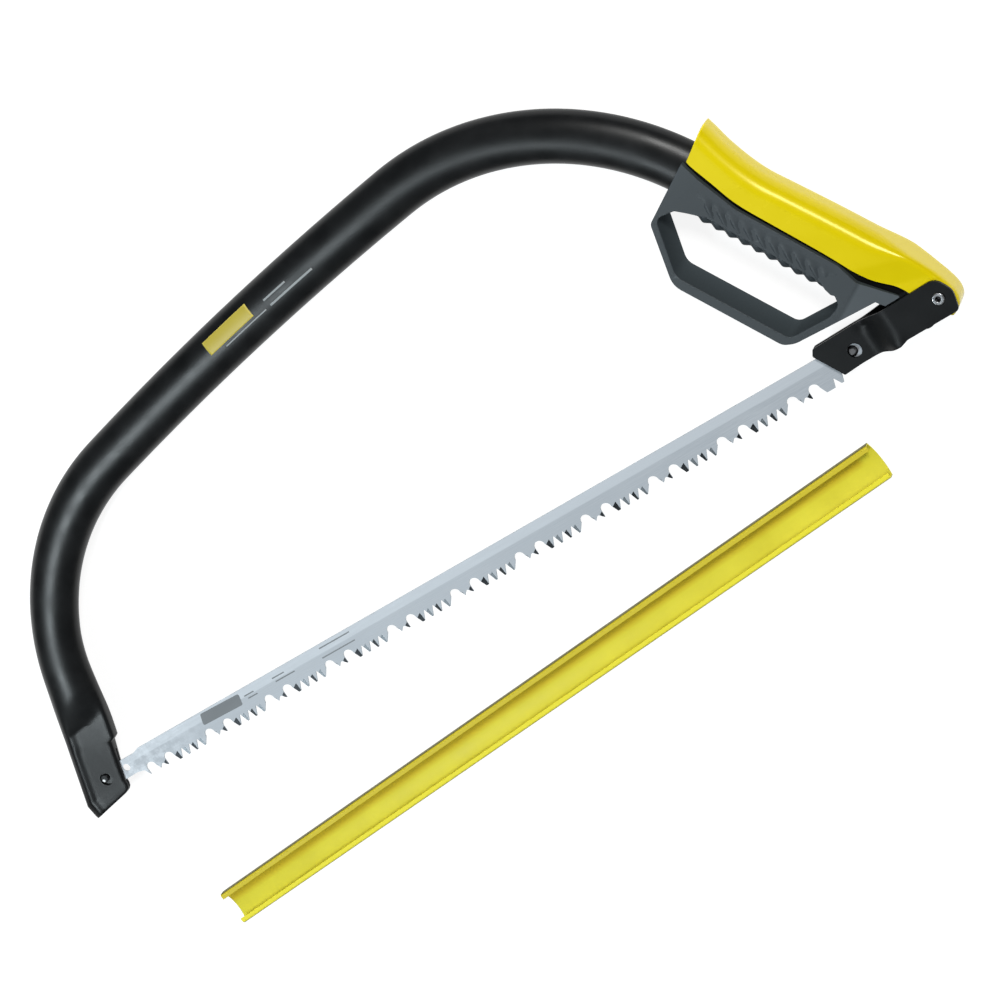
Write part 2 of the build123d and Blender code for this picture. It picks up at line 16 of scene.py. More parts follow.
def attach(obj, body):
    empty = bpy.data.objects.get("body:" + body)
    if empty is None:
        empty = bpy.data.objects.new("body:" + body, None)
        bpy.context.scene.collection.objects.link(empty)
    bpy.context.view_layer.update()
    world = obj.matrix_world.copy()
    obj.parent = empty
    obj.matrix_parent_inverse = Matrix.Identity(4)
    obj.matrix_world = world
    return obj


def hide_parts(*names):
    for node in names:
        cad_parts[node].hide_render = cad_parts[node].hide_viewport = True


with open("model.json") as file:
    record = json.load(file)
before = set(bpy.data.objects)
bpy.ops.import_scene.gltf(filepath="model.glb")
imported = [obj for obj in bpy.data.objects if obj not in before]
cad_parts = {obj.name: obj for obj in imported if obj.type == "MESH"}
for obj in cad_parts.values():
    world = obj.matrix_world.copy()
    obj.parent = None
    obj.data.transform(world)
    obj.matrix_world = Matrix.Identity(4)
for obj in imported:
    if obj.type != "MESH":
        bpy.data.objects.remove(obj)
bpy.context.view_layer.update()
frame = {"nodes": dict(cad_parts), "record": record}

# ------------------------------------------------------------------ places, from the frame
MM = 0.001
JOINTS = {joint["name"]: joint for joint in frame["record"]["behaviour"]["joints"]}
PIVOT = Vector(JOINTS["lever_open"]["pos_m"])
RIVET = Vector(JOINTS["stirrup_swing"]["pos_m"])
MID_Z = PIVOT.z
PIVOT_FROM_NOSE = Vector((646.8, 0.0))
NOSE = Vector((PIVOT.x, PIVOT.y)) - PIVOT_FROM_NOSE * MM
RIVET_FLAT = (Vector((RIVET.x, RIVET.y)) - NOSE) / MM
HANDLE_ANGLE = math.radians(-62.64)
ALONG = Vector((math.cos(HANDLE_ANGLE), math.sin(HANDLE_ANGLE)))
OUT = Vector((-math.sin(HANDLE_ANGLE), math.cos(HANDLE_ANGLE)))
COVER_START, COVER_END = (13.4, -124.0), (567.7, -69.4)
HOLE_Y, BLADE_PIN_X = -1.5, 596.0     # level of both blade pins, and place of the stirrup's one
BLADE_FACE = 0.45                     # half the blade's thickness
STRIP_EDGE = -1.2                     # the blade's bright back strip lies above this level
TANG_FADE = (25, 90)                  # its pale, patchy tang fades out along this stretch
CLEAR = 30.0                          # well past every piece, above and below


def saw(x, y, z=0.0):
    """Millimetres from the nose end of the blade line, and above the saw's middle plane."""
    return Vector((NOSE.x + x * MM, NOSE.y + y * MM, MID_Z + z * MM))


def grip(along, out, z=0.0):
    """Millimetres from the pivot, down the handle and outwards, and above the middle plane."""
    flat = Vector((PIVOT.x, PIVOT.y)) + (ALONG * along + OUT * out) * MM
    return Vector((flat.x, flat.y, MID_Z + z * MM))


# ------------------------------------------------------------------ materials
def new_material(name):
    material = bpy.data.materials.new(name)
    material.use_nodes = True
    nodes = material.node_tree.nodes
    return material, nodes, material.node_tree.links, nodes["Principled BSDF"]


def noise_node(nodes, links, scale, detail=4.0, stretch=None, roughness=0.55):
    """Noise in object space, stretched where asked."""
    coordinates = nodes.new("ShaderNodeTexCoord")
    mapping = nodes.new("ShaderNodeMapping")
    if stretch:
        mapping.inputs["Scale"].default_value = stretch
    noise = nodes.new("ShaderNodeTexNoise")
    noise.inputs["Scale"].default_value = scale
    noise.inputs["Detail"].default_value = detail
    noise.inputs["Roughness"].default_value = roughness
    links.new(coordinates.outputs["Object"], mapping.inputs["Vector"])
    links.new(mapping.outputs["Vector"], noise.inputs["Vector"])
    return noise


def ramp(nodes, links, source, low, high, from_value, to_value):
    """source mapped from low..high to the two values, clamped."""
    node = nodes.new("ShaderNodeMapRange")
    node.inputs["From Min"].default_value = low
    node.inputs["From Max"].default_value = high
    node.inputs["To Min"].default_value = from_value
    node.inputs["To Max"].default_value = to_value
    links.new(source, node.inputs["Value"])
    return node.outputs["Result"]


def mix_color(nodes, links, factor, first, second):
    node = nodes.new("ShaderNodeMix")
    node.data_type = "RGBA"
    links.new(factor, node.inputs["Factor"])
    for socket, value in ((node.inputs["A"], first), (node.inputs["B"], second)):
        if isinstance(value, tuple):
            socket.default_value = (*value, 1.0)
        else:
            links.new(value, socket)
    return node.outputs["Result"]


def dot_product(nodes, links, vector, direction):
    node = nodes.new("ShaderNodeVectorMath")
    node.operation = "DOT_PRODUCT"
    node.inputs[1].default_value = direction
    links.new(vector, node.inputs[0])
    return node.outputs["Value"]


def multiply(nodes, links, first, second):
    node = nodes.new("ShaderNodeMath")
    node.operation = "MULTIPLY"
    links.new(first, node.inputs[0])
    links.new(second, node.inputs[1])
    return node.outputs["Value"]


def bump(nodes, links, bsdf, height, strength, distance):
    """Fine relief, seen in the shading alone."""
    node = nodes.new("ShaderNodeBump")
    node.inputs["Strength"].default_value = strength
    node.inputs["Distance"].default_value = distance
    links.new(height, node.inputs["Height"])
    links.new(node.outputs["Normal"], bsdf.inputs["Normal"])


def edge_wear(nodes, links, low=0.53, high=0.6):
    """1 on sharp convex edges, from the mesh's pointiness."""
    geometry = nodes.new("ShaderNodeNewGeometry")
    return ramp(nodes, links, geometry.outputs["Pointiness"], low, high, 0.0, 1.0)


def enamel(name, color, worn, roughness, peel=0.15, gloss=0.5):
    """Sprayed enamel on steel: orange peel, soft mottling, faint rubbed edges."""
    material, nodes, links, bsdf = new_material(name)
    mottle = noise_node(nodes, links, 55, 5)
    tone = ramp(nodes, links, mottle.outputs["Fac"], 0.3, 0.7, 0.0, 1.0)
    shade = mix_color(nodes, links, tone, color, tuple(c * 1.5 + 0.002 for c in color))
    wear = mix_color(nodes, links, edge_wear(nodes, links), shade, worn)
    links.new(wear, bsdf.inputs["Base Color"])
    links.new(
        ramp(nodes, links, mottle.outputs["Fac"], 0.25, 0.75, roughness - 0.05, roughness + 0.07),
        bsdf.inputs["Roughness"],
    )
    peel_noise = noise_node(nodes, links, 900, 2)
    bump(nodes, links, bsdf, peel_noise.outputs["Fac"], peel, 0.0002)
    bsdf.inputs["Specular IOR Level"].default_value = gloss
    return material


def moulded(name, color, light, roughness, grain=0.25, tint=(1.0, 1.0, 1.0), gloss=0.5):
    """Injection-moulded plastic: fine spark-eroded grain and slight colour drift."""
    material, nodes, links, bsdf = new_material(name)
    drift = noise_node(nodes, links, 22, 4)
    tone = ramp(nodes, links, drift.outputs["Fac"], 0.3, 0.7, 0.0, 1.0)
    shade = mix_color(nodes, links, tone, color, light)
    brightened = tuple(min(1.0, c * 1.35 + 0.01) for c in light)
    links.new(mix_color(nodes, links, edge_wear(nodes, links), shade, brightened), bsdf.inputs["Base Color"])
    links.new(
        ramp(nodes, links, drift.outputs["Fac"], 0.25, 0.75, roughness - 0.04, roughness + 0.06),
        bsdf.inputs["Roughness"],
    )
    fine = noise_node(nodes, links, 2600, 2)
    bump(nodes, links, bsdf, fine.outputs["Fac"], grain, 0.0001)
    bsdf.inputs["Specular Tint"].default_value = (*tint, 1.0)
    bsdf.inputs["Specular IOR Level"].default_value = gloss
    return material


def bare_steel(
    name, dark, light, roughness, stretch=(1.0, 30.0, 30.0), scale=60, metallic=1.0, ground=False
):
    """Ground or plated steel: fine streaks along X and cloudy staining. A ground blade has a
    brighter strip along its back and a patchy, paler tang."""
    material, nodes, links, bsdf = new_material(name)
    bsdf.inputs["Metallic"].default_value = metallic
    streak = noise_node(nodes, links, scale, 8, stretch, 0.7)
    cloud = noise_node(nodes, links, 18, 5)
    tone = ramp(nodes, links, streak.outputs["Fac"], 0.3, 0.7, 0.0, 1.0)
    streaked = mix_color(nodes, links, tone, dark, light)
    stain = ramp(nodes, links, cloud.outputs["Fac"], 0.35, 0.75, 0.0, 0.35)
    color = mix_color(nodes, links, stain, streaked, dark)
    if ground:
        split = nodes.new("ShaderNodeSeparateXYZ")
        links.new(nodes.new("ShaderNodeTexCoord").outputs["Object"], split.inputs["Vector"])
        strip = saw(0, STRIP_EDGE).y
        back = ramp(nodes, links, split.outputs["Y"], strip - 0.4 * MM, strip + 0.4 * MM, 0.0, 0.5)
        color = mix_color(nodes, links, back, color, tuple(c * 1.25 for c in light))
        pale, plain = (saw(x, 0).x for x in TANG_FADE)
        tang = ramp(nodes, links, split.outputs["X"], pale, plain, 1.0, 0.0)
        blotch = noise_node(nodes, links, 170, 6)
        patchy = ramp(nodes, links, blotch.outputs["Fac"], 0.42, 0.6, 0.0, 0.75)
        color = mix_color(
            nodes, links, multiply(nodes, links, tang, patchy), color, tuple(c * 1.35 for c in light)
        )
    links.new(color, bsdf.inputs["Base Color"])
    links.new(
        ramp(nodes, links, streak.outputs["Fac"], 0.3, 0.7, roughness - 0.08, roughness + 0.1),
        bsdf.inputs["Roughness"],
    )
    bump(nodes, links, bsdf, streak.outputs["Fac"], 0.12, 0.00005)
    return material


def peened_steel(name, spot, reach):
    """Blackened steel, with a painted highlight at one spot of the plan."""
    material, nodes, links, bsdf = new_material(name)
    coordinates = nodes.new("ShaderNodeTexCoord")
    level = nodes.new("ShaderNodeVectorMath")
    level.operation = "MULTIPLY"
    level.inputs[1].default_value = (1.0, 1.0, 0.0)
    links.new(coordinates.outputs["Object"], level.inputs[0])
    away = nodes.new("ShaderNodeVectorMath")
    away.operation = "DISTANCE"
    away.inputs[1].default_value = saw(*spot, 0.0) * Vector((1, 1, 0))
    links.new(level.outputs["Vector"], away.inputs[0])
    # painted highlight: a bright spot round the given plan spot, fading out at its reach
    brightened = ramp(nodes, links, away.outputs["Value"], reach * 0.7 * MM, reach * MM, 1.0, 0.0)
    scuffs = noise_node(nodes, links, 700, 4)
    tone = ramp(nodes, links, scuffs.outputs["Fac"], 0.3, 0.7, 0.0, 1.0)
    dark = mix_color(nodes, links, tone, (0.008, 0.009, 0.01), (0.02, 0.021, 0.023))
    links.new(mix_color(nodes, links, brightened, dark, (0.85, 0.86, 0.87)), bsdf.inputs["Base Color"])
    bsdf.inputs["Roughness"].default_value = 0.35
    bump(nodes, links, bsdf, scuffs.outputs["Fac"], 0.1, 0.0001)
    bsdf.inputs["Specular IOR Level"].default_value = 0.1
    return material


def clip_plastic(name):
    """Thin tinted extrusion, with painted light and shade on it: a painted shadow of its upper lip on the
    web, painted shade on its cut outer walls, and its lips painted light on the lower side and darker on the
    upper one."""
    material, nodes, links, bsdf = new_material(name)
    coordinates = nodes.new("ShaderNodeTexCoord")
    split = nodes.new("ShaderNodeSeparateXYZ")
    links.new(coordinates.outputs["Object"], split.inputs["Vector"])
    start, end = saw(*COVER_START), saw(*COVER_END)
    run = (end - start).normalized()
    side = Vector((-run.y, run.x, 0.0))
    across = dot_product(nodes, links, coordinates.outputs["Object"], side)
    along = dot_product(nodes, links, coordinates.outputs["Object"], run)
    middle = start.dot(side)
    drift = noise_node(nodes, links, 30, 4)
    tone = ramp(nodes, links, drift.outputs["Fac"], 0.3, 0.7, 0.0, 1.0)
    color = mix_color(nodes, links, tone, (0.64, 0.57, 0.035), (0.72, 0.65, 0.045))
    # painted shadow of the upper lip on the web: a darker band under it that stops short of the end
    low_part = ramp(nodes, links, split.outputs["Z"], 0.0055, 0.0075, 1.0, 0.0)
    inner = ramp(nodes, links, across, middle + 0.0005, middle + 0.0045, 0.0, 1.0)
    before_end = ramp(nodes, links, along, end.dot(run) - 0.013, end.dot(run) - 0.009, 1.0, 0.0)
    shadow_band = multiply(nodes, links, multiply(nodes, links, low_part, inner), before_end)
    color = mix_color(nodes, links, shadow_band, color, (0.58, 0.43, 0.02))
    # painted light and shade on the lips: the lower lip painted bright, the upper one darker
    lips = ramp(nodes, links, split.outputs["Z"], 0.0072, 0.0082, 0.0, 1.0)
    near_side = ramp(nodes, links, across, middle - 0.001, middle + 0.001, 1.0, 0.0)
    lip_light_and_shade = mix_color(nodes, links, near_side, (0.62, 0.50, 0.025), (0.84, 0.74, 0.035))
    color = mix_color(nodes, links, lips, color, lip_light_and_shade)
    # painted shade on the cut walls along both edges, darkest on the upper one
    wall_start, wall_end = 11.8 * MM, 12.3 * MM
    outer = ramp(nodes, links, across, middle + wall_start, middle + wall_end, 0.0, 1.0)
    color = mix_color(nodes, links, outer, color, (0.12, 0.105, 0.012))
    lower = ramp(nodes, links, across, middle - wall_end, middle - wall_start, 1.0, 0.0)
    color = mix_color(nodes, links, lower, color, (0.22, 0.20, 0.02))
    links.new(color, bsdf.inputs["Base Color"])
    links.new(
        ramp(nodes, links, drift.outputs["Fac"], 0.25, 0.75, 0.42, 0.55), bsdf.inputs["Roughness"]
    )
    scratches = noise_node(nodes, links, 400, 3, (0.2, 3.0, 1.0))
    bump(nodes, links, bsdf, scratches.outputs["Fac"], 0.08, 0.0001)
    bsdf.inputs["Specular IOR Level"].default_value = 0.2
    return material


MATERIALS = {
    "tube_enamel": enamel("tube_enamel", (0.004, 0.0045, 0.005), (0.02, 0.022, 0.025), 0.34, 0.11, 0.27),
    "link_enamel": enamel("link_enamel", (0.0025, 0.003, 0.0035), (0.02, 0.02, 0.024), 0.45, 0.15, 0.17),
    "channel_steel": enamel("channel_steel", (0.008, 0.008, 0.009), (0.08, 0.08, 0.085), 0.42),
    "dark_steel": enamel("dark_steel", (0.01, 0.01, 0.011), (0.09, 0.09, 0.095), 0.35),
    "grip_plastic": moulded(
        "grip_plastic", (0.036, 0.044, 0.050), (0.045, 0.054, 0.061), 0.5, 0.35, gloss=0.3
    ),
    # steep walls of the grip: darker than the grip as painted shade, and with no specular reflection
    "grip_wall_painted_shade": moulded(
        "grip_wall_painted_shade", (0.026, 0.034, 0.038), (0.032, 0.041, 0.046), 0.8, 0.35, gloss=0.0
    ),
    "bush_plastic": moulded("bush_plastic", (0.6, 0.58, 0.52), (0.66, 0.64, 0.58), 0.5),
    "cover_plastic": moulded(
        "cover_plastic", (0.68, 0.535, 0.0), (0.735, 0.59, 0.0), 0.25, 0.02, tint=(1.0, 0.95, 0.45)
    ),
    "blade_steel": bare_steel(
        "blade_steel", (0.30, 0.325, 0.36), (0.43, 0.455, 0.49), 0.5, metallic=0.12, ground=True
    ),
    "rivet_steel": bare_steel("rivet_steel", (0.42, 0.43, 0.45), (0.6, 0.6, 0.62), 0.3, None, 200),
    # with a painted highlight near the nose pin
    "pin_steel": peened_steel("pin_steel", (-1.1, -2.5), 1.2),
    "clip_plastic": clip_plastic("clip_plastic"),
}

SLOTS = {part["node"]: part["material_slot"] for part in frame["record"]["subparts"]}
for node, thing in frame["nodes"].items():
    thing.data.materials.clear()
    thing.data.materials.append(MATERIALS[SLOTS[node]])


# ------------------------------------------------------------------ mesh helpers
def mesh_object(name, points, faces, smooth=True):
    mesh = bpy.data.meshes.new(name)
    mesh.from_pydata([tuple(point) for point in points], [], faces)
    mesh.update()
    thing = bpy.data.objects.new(name, mesh)
    bpy.context.scene.collection.objects.link(thing)
    tidy_normals(thing)
    if smooth:
        mesh.polygons.foreach_set("use_smooth", [True] * len(mesh.polygons))
    return thing


def tidy_normals(thing):
    work = bmesh.new()
    work.from_mesh(thing.data)
    bmesh.ops.remove_doubles(work, verts=work.verts, dist=1e-7)
    bmesh.ops.recalc_face_normals(work, faces=work.faces)
    work.to_mesh(thing.data)
    work.free()


def bake(thing):
    """The thing's modifiers, made part of its mesh."""
    evaluated = thing.evaluated_get(bpy.context.evaluated_depsgraph_get())
    mesh = bpy.data.meshes.new_from_object(evaluated)
    thing.modifiers.clear()
    old, thing.data = thing.data, mesh
    bpy.data.meshes.remove(old)


def combine(thing, other, operation, keep=False):
    """Boolean of two closed meshes, left in the first."""
    modifier = thing.modifiers.new(operation.lower(), "BOOLEAN")
    modifier.operation = operation
    modifier.solver = "EXACT"
    modifier.object = other
    modifier.material_mode = "TRANSFER"
    bake(thing)
    if not keep:
        bpy.data.objects.remove(other, do_unlink=True)


def grid_faces(rows, columns, closed=False):
    """Quads over a grid of rows, joined round its columns where closed."""
    faces = []
    for row in range(rows - 1):
        for column in range(columns if closed else columns - 1):
            after = (column + 1) % columns
            faces.append((
                row * columns + column, row * columns + after,
                (row + 1) * columns + after, (row + 1) * columns + column,
            ))
    return faces


def two_layers(name, points, rows, columns):
    """A closed mesh over two grids of points, the second lying over the first."""
    layer = rows * columns
    faces = grid_faces(rows, columns)
    faces += [tuple(layer + i for i in reversed(face)) for face in grid_faces(rows, columns)]
    rim = list(range(columns)) + [r * columns + columns - 1 for r in range(1, rows)]
    rim += [layer - 1 - i for i in range(1, columns)] + [r * columns for r in range(rows - 2, 0, -1)]
    faces += [(a, b, b + layer, a + layer) for a, b in zip(rim, rim[1:] + rim[:1])]
    return mesh_object(name, points, faces)


def swept(name, rings):
    """A closed, smooth mesh through rings of points, with flat ends."""
    count = len(rings[0])
    faces = grid_faces(len(rings), count, closed=True)
    last = (len(rings) - 1) * count
    faces.append(tuple(range(count)))
    faces.append(tuple(range(last, last + count)))
    return mesh_object(name, [point for ring in rings for point in ring], faces)


def prism(name, outline, low, high, place=saw):
    """A straight-sided solid over a plan outline in millimetres, between two heights."""
    bottom = [place(x, y, low) for x, y in outline]
    top = [place(x, y, high) for x, y in outline]
    count = len(outline)
    faces = [tuple(range(count)), tuple(range(count, 2 * count))]
    faces += [(i, (i + 1) % count, count + (i + 1) % count, count + i) for i in range(count)]
    return mesh_object(name, bottom + top, faces, smooth=False)


def circle(x, y, radius, count=48):
    return [
        (x + radius * math.cos(turn), y + radius * math.sin(turn))
        for turn in (2 * math.pi * step / count for step in range(count))
    ]


def between(low, high, value):
    """0 below low, 1 above high, eased between."""
    fraction = min(1.0, max(0.0, (value - low) / (high - low)))
    return fraction * fraction * (3 - 2 * fraction)


def along_line(points, fraction):
    """The point that far along a line of points."""
    points = [Vector(point) for point in points]
    lengths = [(b - a).length for a, b in zip(points, points[1:])]
    left = fraction * sum(lengths)
    for start, end, length in zip(points, points[1:], lengths):
        if left <= length:
            return start.lerp(end, left / length)
        left -= length
    return points[-1]


def rounded(corners, steps=6):
    """A closed outline whose corners (x, y, radius) are rounded."""
    outline = []
    for before, here, after in zip(corners[-1:] + corners[:-1], corners, corners[1:] + corners[:1]):
        size, corner = here[2], Vector(here[:2])
        back, on = Vector(before[:2]) - corner, Vector(after[:2]) - corner
        half_angle = back.angle(on) / 2
        if size <= 0 or math.pi / 2 - half_angle < 0.02:
            outline.append(corner)
            continue
        reach = min(size / math.tan(half_angle), 0.48 * back.length, 0.48 * on.length)
        start, end = corner + back.normalized() * reach, corner + on.normalized() * reach
        for step in range(steps + 1):
            t = step / steps
            outline.append(start * (1 - t) ** 2 + corner * 2 * t * (1 - t) + end * t * t)
    return [tuple(point) for point in outline]


def soften(piece, angle=34.0):
    """Smooth shading, but for edges sharper than the angle."""
    piece.data.polygons.foreach_set("use_smooth", [True] * len(piece.data.polygons))
    piece.data.set_sharp_from_angle(angle=math.radians(angle))


def ease_edges(piece, width, angle, segments=2):
    """Bevels the edges sharper than the angle, by a width in millimetres."""
    ease = piece.modifiers.new("eased_edges", "BEVEL")
    ease.width = width * MM
    ease.segments = segments
    ease.limit_method = "ANGLE"
    ease.angle_limit = math.radians(angle)


def node_copy(node, name):
    """A copy of a CAD node's mesh, to be worked on as a piece."""
    piece = frame["nodes"][node].copy()
    piece.data = piece.data.copy()
    piece.parent = None
    piece.name = name
    bpy.context.scene.collection.objects.link(piece)
    piece.matrix_world = Matrix()
    tidy_normals(piece)
    return piece


def finish_piece(piece, body, slot, node, bevel=0.0, angle=35.0):
    """Gives a piece its material, eased edges and body, and hides the CAD node it stands for."""
    piece.data.materials.clear()
    piece.data.materials.append(MATERIALS[slot])
    soften(piece)
    if bevel:
        ease_edges(piece, bevel, angle)
    even = piece.modifiers.new("even_shading", "WEIGHTED_NORMAL")
    even.keep_sharp = True
    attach(piece, body)
    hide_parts(node)


# ------------------------------------------------------------------ bow tube with its pressed nose
TUBE_HALF_WIDE, TUBE_HALF_THICK = 16.4, 11.1
HIDDEN_JOIN = -100.0                  # along the handle, where the drawn tube takes over from the CAD
HANDLE_RUN = 148.2
BENDS = ((166.8, 68.94), (2449.0, 6.4), (167.7, 57.2))      # radius and turn: top, back and heel
NOSE_STRAIGHT = 34.0
RING = 72                             # points round the tube

BOW_PARTS = [(HANDLE_RUN + HIDDEN_JOIN, 0.0)]
BOW_PARTS += [(radius * math.radians(turn), math.radians(turn)) for radius, turn in BENDS]
BOW_PARTS.append((NOSE_STRAIGHT, 0.0))


def bow_stations(step=3.0):
    """(place, heading) along the tube's middle, in millimetres, from inside the grip to the nose."""
    place = PIVOT_FROM_NOSE + ALONG * HIDDEN_JOIN
    heading = HANDLE_ANGLE + math.pi
    stations = [(place, heading)]
    for length, turn in BOW_PARTS:
        count = math.ceil(length / step)
        for _ in range(count):
            middle = heading + turn / count / 2
            place = place + Vector((math.cos(middle), math.sin(middle))) * (length / count)
            heading += turn / count
            stations.append((place, heading))
    return stations


def outwards(heading):
    """Across the tube in the plan, to the outside of the bow."""
    return Vector((math.sin(heading), -math.cos(heading)))


def nose_height(u, distance):
    """Half thickness of the tube at u across it, -1 on the outside of the bow, and that distance
    above the nose pin: an oval, pressed to a flat panel beside a rounded ridge."""
    oval = TUBE_HALF_THICK * math.sqrt(max(0.0, 1 - u * u))
    side = max(0.0, 1 - abs(u) ** 14) ** (1 / 4) if u > 0 else math.sqrt(max(0.0, 1 - abs(u) ** 6))
    sloped = 4.9 - 2.4 * between(-45.0, 25.0, -distance)
    pressed = side * (sloped + 1.1 * math.exp(-((u + 0.66) / 0.17) ** 2))
    line = 41.3 + 10.1 * u
    depth = min(1.0, max(0.0, 1 + (line - distance) / 24.0))
    return oval + (pressed - oval) * depth ** 1.7


NOSE_OUTSIDE = [(-25.8, -12.9)]
NOSE_INSIDE = [(25.7, 19.4), (21.8, 17.6), (16.2, 3.8), (11.6, -9.0)]
NOSE_ROWS = 50
NOSE_TIP = [                          # the last rings: outside corner, inside corner, thickness left
    ((-25.4, -17.0), (11.4, -12.4), 1.0), ((-25.0, -20.6), (10.4, -14.8), 1.0),
    ((-24.7, -22.4), (8.8, -16.2), 0.94), ((-24.4, -23.2), (7.0, -17.0), 0.8),
]
SLOT_HALF, RECESS_FLOOR = 0.7, 1.3    # heights of the blade's slot and of the recess round the pin
PRESS_SPREAD = 4.5                    # how much wider the tube gets on its inside as it is pressed
PIN_LEVEL = Vector((-4.08, HOLE_Y))
PRESS_REACH = 120.0                   # how far above the nose pin the pressing is felt


def press_spread(place):
    """The widening at a place along the tube."""
    return PRESS_SPREAD * (1 - between(30.0, 110.0, (place - PIN_LEVEL).length))


bow = bow_stations()
NOSE_HEADING = bow[-1][1]
nose_down = Vector((math.cos(NOSE_HEADING), math.sin(NOSE_HEADING)))
rings = []
for place, heading in bow:
    spread = press_spread(place)
    ring = []
    for step in range(RING):
        turn = 2 * math.pi * step / RING
        inward = TUBE_HALF_WIDE * math.cos(turn) + spread * (math.cos(turn) + 1) / 2
        spot = place - outwards(heading) * inward
        height = TUBE_HALF_THICK * abs(math.sin(turn))
        if (place - PIN_LEVEL).length < PRESS_REACH:
            height = nose_height(math.cos(turn), (PIN_LEVEL - spot).dot(nose_down))
        ring.append(saw(spot.x, spot.y, math.copysign(height, math.sin(turn))))
    rings.append(ring)

bow_end = bow[-1][0]
outside_start = bow_end + outwards(NOSE_HEADING) * TUBE_HALF_WIDE
inside_start = outside_start - outwards(NOSE_HEADING) * (2 * TUBE_HALF_WIDE + press_spread(bow_end))


def nose_ring(outside, inside, thin=1.0):
    """A ring of the pressed nose, between its corners in the plan."""
    ring = []
    for step in range(RING):
        turn = 2 * math.pi * step / RING
        u = math.cos(turn)
        spot = outside.lerp(inside, (u + 1) / 2)
        height = nose_height(u, (PIN_LEVEL - spot).dot(nose_down)) * thin
        ring.append(saw(spot.x, spot.y, math.copysign(height, math.sin(turn))))
    return ring


for row in range(1, NOSE_ROWS + 1):
    part = row / NOSE_ROWS
    rings.append(nose_ring(
        along_line([outside_start, *NOSE_OUTSIDE], part), along_line([inside_start, *NOSE_INSIDE], part)
    ))
for outside, inside, thin in NOSE_TIP:
    rings.append(nose_ring(Vector(outside), Vector(inside), thin))
tube = swept("bow_tube", rings)
slot_outline = [(-8.5, 12), (60, 12), (60, -60), (-8.5, -60)]
combine(tube, prism("tang_slot", slot_outline, -SLOT_HALF, SLOT_HALF), "DIFFERENCE")
combine(tube, prism("near_recess", circle(1.0, HOLE_Y - 0.9, 4.5), RECESS_FLOOR, CLEAR), "DIFFERENCE")
combine(tube, prism("pin_hole", circle(0, HOLE_Y, 2.8), -CLEAR, CLEAR), "DIFFERENCE")
lever_end = node_copy("frame_tube", "bow_tube_lever_end")
hidden_part = [(HIDDEN_JOIN, -30), (30, -30), (30, 30), (HIDDEN_JOIN, 30)]
combine(lever_end, prism("hidden_part", hidden_part, -CLEAR, CLEAR, grip), "INTERSECT")
finish_piece(tube, "frame", "tube_enamel", "frame_tube")
finish_piece(lever_end, "frame", "tube_enamel", "frame_tube", bevel=0.4)

# ------------------------------------------------------------------ lever cover: an open moulded shell
COVER_BACK = [                        # along the handle, out from it: the back's middle line
    (-162.8, 30.4), (-156.6, 28.9), (-144.8, 25.7), (-130.0, 23.2), (-116.3, 22.3), (-100.0, 23.3),
    (-64.7, 25.5), (-32.2, 26.5), (-7.9, 24.9), (5.0, 22.7), (11.5, 20.3), (15.2, 17.0), (16.6, 13.0),
    (16.7, 9.6),
]
COVER_EDGE = [                        # the lower edge that each of those points comes down to
    (-160.4, 8.3), (-156.0, 6.9), (-141.0, 4.4), (-129.0, 2.2), (-119.0, 1.4), (-106.0, 1.5),
    (-66.0, 2.2), (-37.0, 2.0), (-19.0, 6.4), (-6.0, 6.3), (4.0, 7.0), (11.0, 7.4), (14.0, 7.8),
    (16.2, 8.4),
]
COVER_ROUND, HEEL_ROUND = 10.5, 4.0   # radius along the back, over the grip and at the heel
COVER_SKIN = 1.7
COVER_ROWS, COVER_COLUMNS = 120, 22


def smooth_line(points, fraction):
    """The point that far through a list of points, on a curve that passes through them all."""
    spot = fraction * (len(points) - 1)
    index = min(int(spot), len(points) - 2)
    t = spot - index
    p0 = Vector(points[max(index - 1, 0)])
    p1, p2 = Vector(points[index]), Vector(points[index + 1])
    p3 = Vector(points[min(index + 2, len(points) - 1)])
    return 0.5 * (2 * p1 + (p2 - p0) * t + (2 * p0 - 5 * p1 + 4 * p2 - p3) * t * t
                  + (3 * p1 - p0 - 3 * p2 + p3) * t * t * t)


def cover_half_width(along, out):
    """Half width of the lever: wide on the grip, stepping in beside the stirrup behind a
    slanting crease."""
    beyond = ((along + 47.0) * 23.0 - (out - 2.0) * 22.0) / 31.8
    return 14.8 - 3.0 * min(1.0, max(0.0, beyond / 15.0))


def cover_section(part):
    """Points across the cover from its near lower edge over the back to the far one."""
    back, edge = smooth_line(COVER_BACK, part), smooth_line(COVER_EDGE, part)
    tall = (back - edge).length
    near = []
    for step in range(COVER_COLUMNS + 1):
        t = step / COVER_COLUMNS
        deep = tall * (1 - t) ** 1.5
        spot = back.lerp(edge, deep / tall)
        width = cover_half_width(spot.x, spot.y)
        round_over = COVER_ROUND + (HEEL_ROUND - COVER_ROUND) * between(-50.0, -20.0, spot.x)
        round_over = min(round_over, width - 1)
        fall = max(0.0, 1 - deep / round_over)
        near.append((spot, width - round_over * (1 - math.sqrt(1 - fall * fall))))
    crown = near[-1]
    across = [(crown[0], crown[1] * (1 - 2 * i / 6)) for i in range(1, 6)]
    section = near + across + [(spot, -z) for spot, z in reversed(near)]
    return [grip(spot.x, spot.y, z) for spot, z in section]


